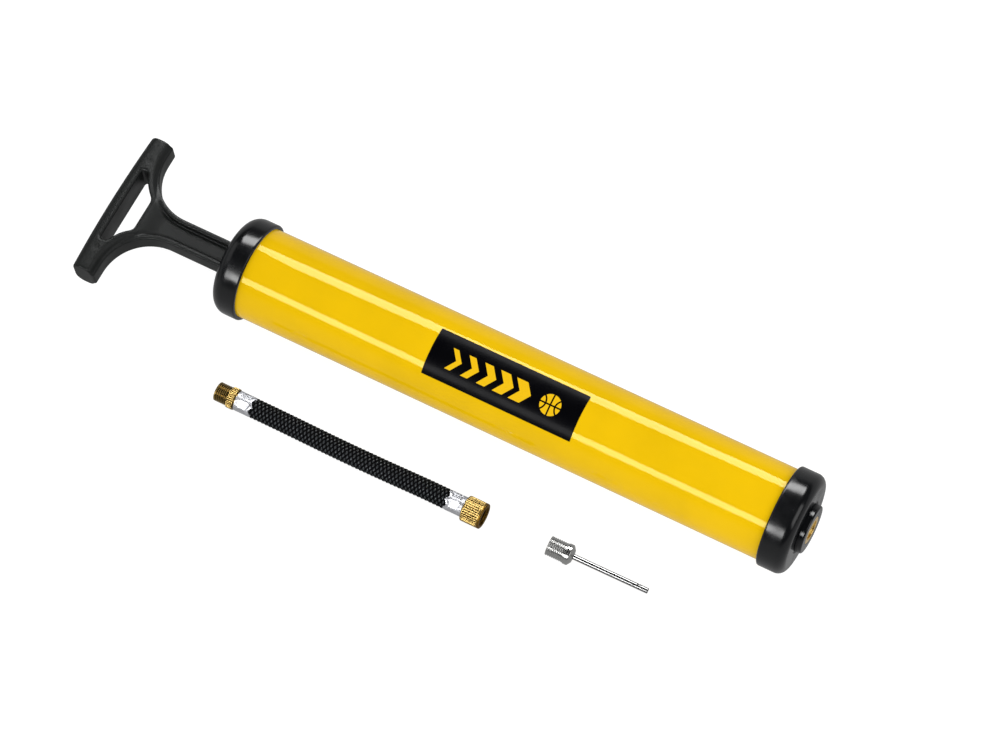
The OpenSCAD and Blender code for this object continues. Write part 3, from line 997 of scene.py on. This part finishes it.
class PUMP_OT_needle(PumpOperator, bpy.types.Operator):
    """Adds the inflation needle"""

    bl_idname = "pump.add_needle"
    bl_label = "Inflation Needle"

    def build(self, scene):
        metal = scene.pump_metal
        ring = NEEDLE_RING - 0.1
        end, back = -9.2, -1.8  # the two ends of its thread
        head = rounded([
            (end, 0.92, 0.1), (end, THREAD_R, 0.4), (back, THREAD_R, 0.12), (back, ring, 0.2),
            (0, ring, 0.4), (1.15, 2.5, 0.4), (1.3, 1.4, 0.1), (0.8, 1.12, 0.1), (0.8, 0.92, 0.05),
        ])

        def thread(x, r, angle):
            groove = thread_relief(metal, x, angle, -9.1, -2.0, 0.6)
            return groove * (r > 3.4) * (x < -1.9)

        plated = metal_finish("nickel_plate", metal.nickel, 0.24, (1, 0.3, 0.3), 0.2).material
        piece = turned("needle_head_threaded", refined(head, 0.09, 3), 160, thread, needle_place, 60)
        dress(piece, plated, "needle", "nickel_plate", "needle_head")
        tube = rounded([
            (-8.2, 0.6, 0.05), (-8.2, 0.9, 0.05), (0.9, 0.9, 0.05), (0.9, NEEDLE_R, 0.05),
            (NEEDLE_LEN, NEEDLE_R, 0.22), (NEEDLE_LEN, 0.6, 0.12),
        ])

        def side_hole(x, r, angle):
            """A pocket in the wall: a smooth step of the distance from the hole's middle."""
            middle, turn, deep, far = 28.4, angle - 0.35 * np.pi, 0.45, 9
            away = np.hypot(x - middle, r * np.sin(turn)) + far * (np.cos(turn) < 0)
            return -deep * ramp(away, 0.62, 0.42) * (r > 1.0)

        piece = turned("needle_tube_drawn", refined(tube, 0.16), 64, side_hole, needle_place, 60)
        drawn = metal_finish("stainless", metal.steel, 0.17, (0.1, 1, 1), 0.1).material
        dress(piece, drawn, "needle", "stainless", "needle_tube")


class PUMP_OT_barrel(PumpOperator, bpy.types.Operator):
    """Adds the enamelled barrel and the label wrapped on it"""

    bl_idname = "pump.add_barrel"
    bl_label = "Barrel and Label"

    def build(self, scene):
        body = scene.pump_body
        low, high = node_box("barrel")
        r = high[1]
        bore = r - 1
        outline = rounded([(low[0], bore, 0.3), (low[0], r, 0.4), (high[0], r, 0.4), (high[0], bore, 0.3)])
        barrel = turned("barrel_tube", outline, 360)
        dress(barrel, enamel_finish(body), "pump", "yellow_enamel", "barrel")
        barrel.visible_glossy = False  # keeps its yellow out of the bright fittings
        self.label(body, r)

    def label(self, body, r):
        """A film over part of the barrel: two sheets of (x, angle), at the barrel's radius
        and a film's thickness above it, joined by walls along their four sides."""
        low, high = node_box("label")
        rows, columns = 9, 97
        first, last = -14, 46  # degrees round the barrel from its top
        x = np.linspace(low[0], high[0], rows)
        x, lean = np.meshgrid(x, np.radians(np.linspace(first, last, columns)), indexing="ij")
        sheets = [np.stack([x, -a * np.sin(lean), a * np.cos(lean)], 2) for a in (r + FILM, r)]
        points = np.vstack([sheets[0].reshape(-1, 3), sheets[1][::-1].reshape(-1, 3)])
        index = np.arange(2 * rows * columns).reshape(2 * rows, columns)
        quads = [grid_quads(2 * rows, columns, True, False)]
        for side, order in ((0, 1), (-1, -1)):
            top, under = index[:rows, side], index[:rows - 1:-1, side]
            quads.append(np.stack([top[:-1], under[:-1], under[1:], top[1:]], 1)[:, ::order])
        label = solid("label_film", points, outward(points, np.vstack(quads)))
        dress(label, label_finish(body), "pump", "label_film", "label")


class PUMP_OT_caps(PumpOperator, bpy.types.Operator):
    """Adds the two end caps and the brass outlet"""

    bl_idname = "pump.add_caps"
    bl_label = "End Caps and Outlet"

    def build(self, scene):
        gloss = cap_finish(scene.pump_body)
        low, high = node_box("handle_cap")
        x0, r = low[0], high[1]
        lip = x0 + 11.4
        hole, guide, wall = 7.03, 9.63, 2.6
        outline = rounded([
            (x0, hole, 0.5), (x0, r, 5.6), (lip, r, 0.7), (lip, SKIRT_R, 0.2), (x0 + wall, SKIRT_R, 0.3),
            (x0 + wall, guide, 0.3), (high[0], guide, 0.3), (high[0], hole, 0.3),
        ], 14)
        dress(turned("handle_cap_moulded", outline, 256), gloss, "pump", "black_gloss", "handle_cap")
        low, high = node_box("base_cap")
        r = high[1]
        face, lip, wall, stop = high[0] - 2.6, high[0] - 13.6, 3, -9.5
        boss, tower, seat, chamber = 9.8, 8.8, 6.5, 4.3  # radii, from the outside to the valve
        outline = rounded([
            (high[0], BUSH_R, 0.15), (high[0], boss, 0.7), (face - 0.4, boss, 0.15),
            (face - 0.4, 10.7, 0.15), (face, 10.9, 0.2), (face, r, 3.8), (lip, r, 0.9),
            (lip, SKIRT_R, 0.2), (face - wall, SKIRT_R, 0.3), (face - wall, tower, 0.3),
            (low[0], tower, 0.3), (low[0], seat, 0.2), (low[0] + 2.2, seat, 0.1),
            (low[0] + 2.2, chamber, 0.1), (stop, chamber, 0.1), (stop, BUSH_R, 0.1),
        ], 14)
        dress(turned("base_cap_moulded", outline, 256), gloss, "pump", "black_gloss", "base_cap")
        self.outlet(scene.pump_metal)

    def outlet(self, metal):
        """Brass bush with the inside thread and a port behind it."""
        low, high = node_box("outlet_insert")
        port, depth, r = 1.5, 8, high[1]
        outline = rounded([
            (low[0], port, 0.1), (low[0], r, 0.2), (high[0], r, 0.25), (high[0], THREAD_R, 0.35),
            (-depth, THREAD_R, 0.2), (-depth, port, 0.1),
        ])

        def relief(x, r, angle):
            groove = thread_relief(metal, x, angle, -depth, -0.3)
            return groove * (r < 3.95) * (r > 3.5)

        piece = turned("outlet_bush", refined(outline, 0.1), 160, relief, None, 60)
        # painted reflection: the bush gets a brighter copy of the brass
        bright = metal_finish("brass_bush", metal.bush, 0.22, dirt=0.3).material
        dress(piece, bright, "pump", "brass", "outlet_insert")


class PUMP_OT_handle(PumpOperator, bpy.types.Operator):
    """Adds the T-handle and its rod, moulded in one"""

    bl_idname = "pump.add_handle"
    bl_label = "T-Handle and Rod"

    def build(self, scene):
        self.shape = scene.pump_handle
        cell = self.shape.cell / MM
        end = node_box("plunger")[1][0] - GRIP_X
        near, far = 24, end - 28  # the rod is plain between these, so its grid is coarse there
        x = np.concatenate([
            np.arange(-7, near, cell), np.arange(near, far, 5), np.arange(far, end + 1.5, cell * 1.5)
        ])
        y, z = np.arange(-32.1, 32.3, cell), np.arange(-7.1, 7.3, cell)
        field = self.field(*np.meshgrid(x, y, z, indexing="ij"))
        points, quads = surface_net(field, (x, y, z))
        points = settled(points, self.field)
        piece = solid("t_handle_moulded", points + [GRIP_X, 0, 0], outward(points, quads), 80)
        dress(piece, handle_finish(self.shape), "plunger", "charcoal_plastic", "plunger")

    def inner_edge(self, x, y):
        """Distance outside the rod-side outline: straight at the grip's ends, then an arc of
        the flare's radius on either side, then straight along the rod."""
        flare, waist, half_rod = self.sizes("flare", "waist", "rod") * [1, 1, 0.5]
        side = np.abs(y)
        arc = flare - np.hypot(x - waist - flare, side - half_rod - flare)
        along_rod = np.where(x < waist + flare, arc, side - half_rod)
        return np.where(side > half_rod + flare, x - waist, along_rod)

    def sizes(self, *names):
        """The named settings in millimetres."""
        return np.array([getattr(self.shape, name) for name in names]) / MM

    def slot(self, x, y, edge):
        """Distance outside the slot: a box beside the grip, cut off by the two arms."""
        arm = self.sizes("arm")[0]
        start, end, half, corner = -0.5, 8.9, 16.4, 1.0
        across = round_max(np.abs(y) - half, edge + arm, corner)
        return round_max(np.maximum(start - x, x - end), across, corner)

    def field(self, x, y, z):
        """Distance-like value that is negative inside the moulding.

        The thick body is bounded by the bowed outer edge, the rod-side outline set back by
        the rim, the flat ends, and a height that is full over the grip and falls to the
        web. The rim and the flanges are a band inside the outline. The slot is cut out,
        and its mouth opens out to either face as a chamfer."""
        thick, rim, flange, web, lip = self.sizes("thick", "rim", "flange", "web", "lip")
        side, high = np.abs(y), np.abs(z)
        edge = self.inner_edge(x, y)
        half_grip = node_box("plunger")[1][1]
        rise, back = 1, 5.8  # how far the outer edge bows, and its place at the middle
        bow_radius = (half_grip**2 + rise**2) / (2 * rise)
        bow = np.hypot(x + back - bow_radius, y) - bow_radius
        end = side - half_grip
        fall = ramp(x, 9.4, 18.2)
        crown = 0.02 * (np.clip(x, -6, 10) + 0.4) ** 2  # the faces are slightly domed
        pin = 0.06 * ramp(np.hypot(x - 0.4, side - 20.8), 1.3, 1.05)  # sunk marks of the mould's pins
        top = high - ((thick / 2 - crown) * (1 - fall) + web / 2 * fall) + pin
        body = round_max(bow, top, 3.6)
        body = round_max(body, round_max(edge + rim, top, 3.2), 0.3)
        body = round_max(body, end, 0.9)
        half_rod = 3.75  # half the rod's height over its flanges
        band = round_max(round_max(edge, -edge - flange, 0.35), high - half_rod, 0.6)
        band = round_max(round_max(band, end, 0.9), bow, 0.5)
        solid = round_max(round_min(body, band, 0.8), end, 0.3)
        mouth = self.slot(x, y, edge) - np.clip(high - thick / 2 + lip, 0, None) * (1 - fall)
        solid = round_max(solid, -mouth, 0.35)
        tail = node_box("plunger")[1][0] - GRIP_X
        rod_end, boss_mid, boss_half, spigot_half = tail - 22.3, tail - 14.3, 12, 3
        solid = round_max(solid, x - rod_end, 0.3)
        radius = np.hypot(y, z)
        boss_r, spigot_r, screw_r, screw_len = 5, 2.9, 1.65, 14
        boss = round_max(radius - boss_r, np.abs(x - boss_mid) - boss_half, 0.4)
        spigot = round_max(radius - spigot_r, np.abs(x - (tail - spigot_half)) - spigot_half, 0.2)
        solid = np.minimum(solid, round_min(boss, spigot, 0.2))
        screw = np.maximum(radius - screw_r, tail - screw_len - x)
        return round_max(solid, -screw, 0.1)


class PUMP_OT_inner_parts(PumpOperator, bpy.types.Operator):
    """Gives the pieces inside the pump and the hose their finishes"""

    bl_idname = "pump.dress_inner_parts"
    bl_label = "Inner Parts"

    def build(self, scene):
        metal = scene.pump_metal
        steel = metal_finish("zinc_steel", (0.68, 0.69, 0.71), 0.3).material
        materials = {
            "base_gasket": rubber_finish(),
            "valve_seat": white_finish(),
            "cup_washer": steel,
            "piston_screw": steel,
            "hose_stem": brass_finish(metal),
        }
        for node in ("valve_disc", "cup_seal", "hose_liner", "nut_gasket"):
            materials[node] = materials["base_gasket"]
        materials["piston_head"] = materials["valve_seat"]
        for node, material in materials.items():
            slots = NODES[node].data.materials
            slots.clear()
            slots.append(material)
        self.spring()

    def spring(self):
        """A copy of the coil, in spring steel, with a mesh of its own."""
        wire = metal_finish("spring_steel", (0.72, 0.72, 0.72), 0.22).material
        mesh = NODES["valve_spring"].data.copy()
        mesh.materials.clear()
        coil = bpy.data.objects.new("valve_spring_coil", mesh)
        bpy.context.scene.collection.objects.link(coil)
        dress(coil, wire, "pump", "stainless", "valve_spring")
        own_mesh(coil)


class PUMP_PT_pieces(bpy.types.Panel):
    """Lists the pump's pieces and their settings"""

    bl_label = "Ball Pump"
    bl_space_type = "VIEW_3D"
    bl_region_type = "UI"
    bl_category = "Ball Pump"

    def draw(self, context):
        for operator in OPERATORS:
            self.layout.operator(operator.bl_idname)
        for name, group in GROUPS.items():
            box = self.layout.box()
            for key in group.__annotations__:
                box.prop(getattr(context.scene, name), key)


OPERATORS = (
    PUMP_OT_stage,
    PUMP_OT_hose_ends,
    PUMP_OT_hose,
    PUMP_OT_needle,
    PUMP_OT_barrel,
    PUMP_OT_caps,
    PUMP_OT_handle,
    PUMP_OT_inner_parts,
)
CLASSES = (*GROUPS.values(), *OPERATORS, PUMP_PT_pieces)


def register():
    for kind in CLASSES:
        bpy.utils.register_class(kind)
    for name, group in GROUPS.items():
        setattr(bpy.types.Scene, name, PointerProperty(type=group))


def unregister():
    for name in GROUPS:
        delattr(bpy.types.Scene, name)
    for kind in reversed(CLASSES):
        bpy.utils.unregister_class(kind)


def main():
    register()
    for operator in OPERATORS:
        category, action = operator.bl_idname.split(".")
        getattr(getattr(bpy.ops, category), action)()


if __name__ == "__main__":
    main()
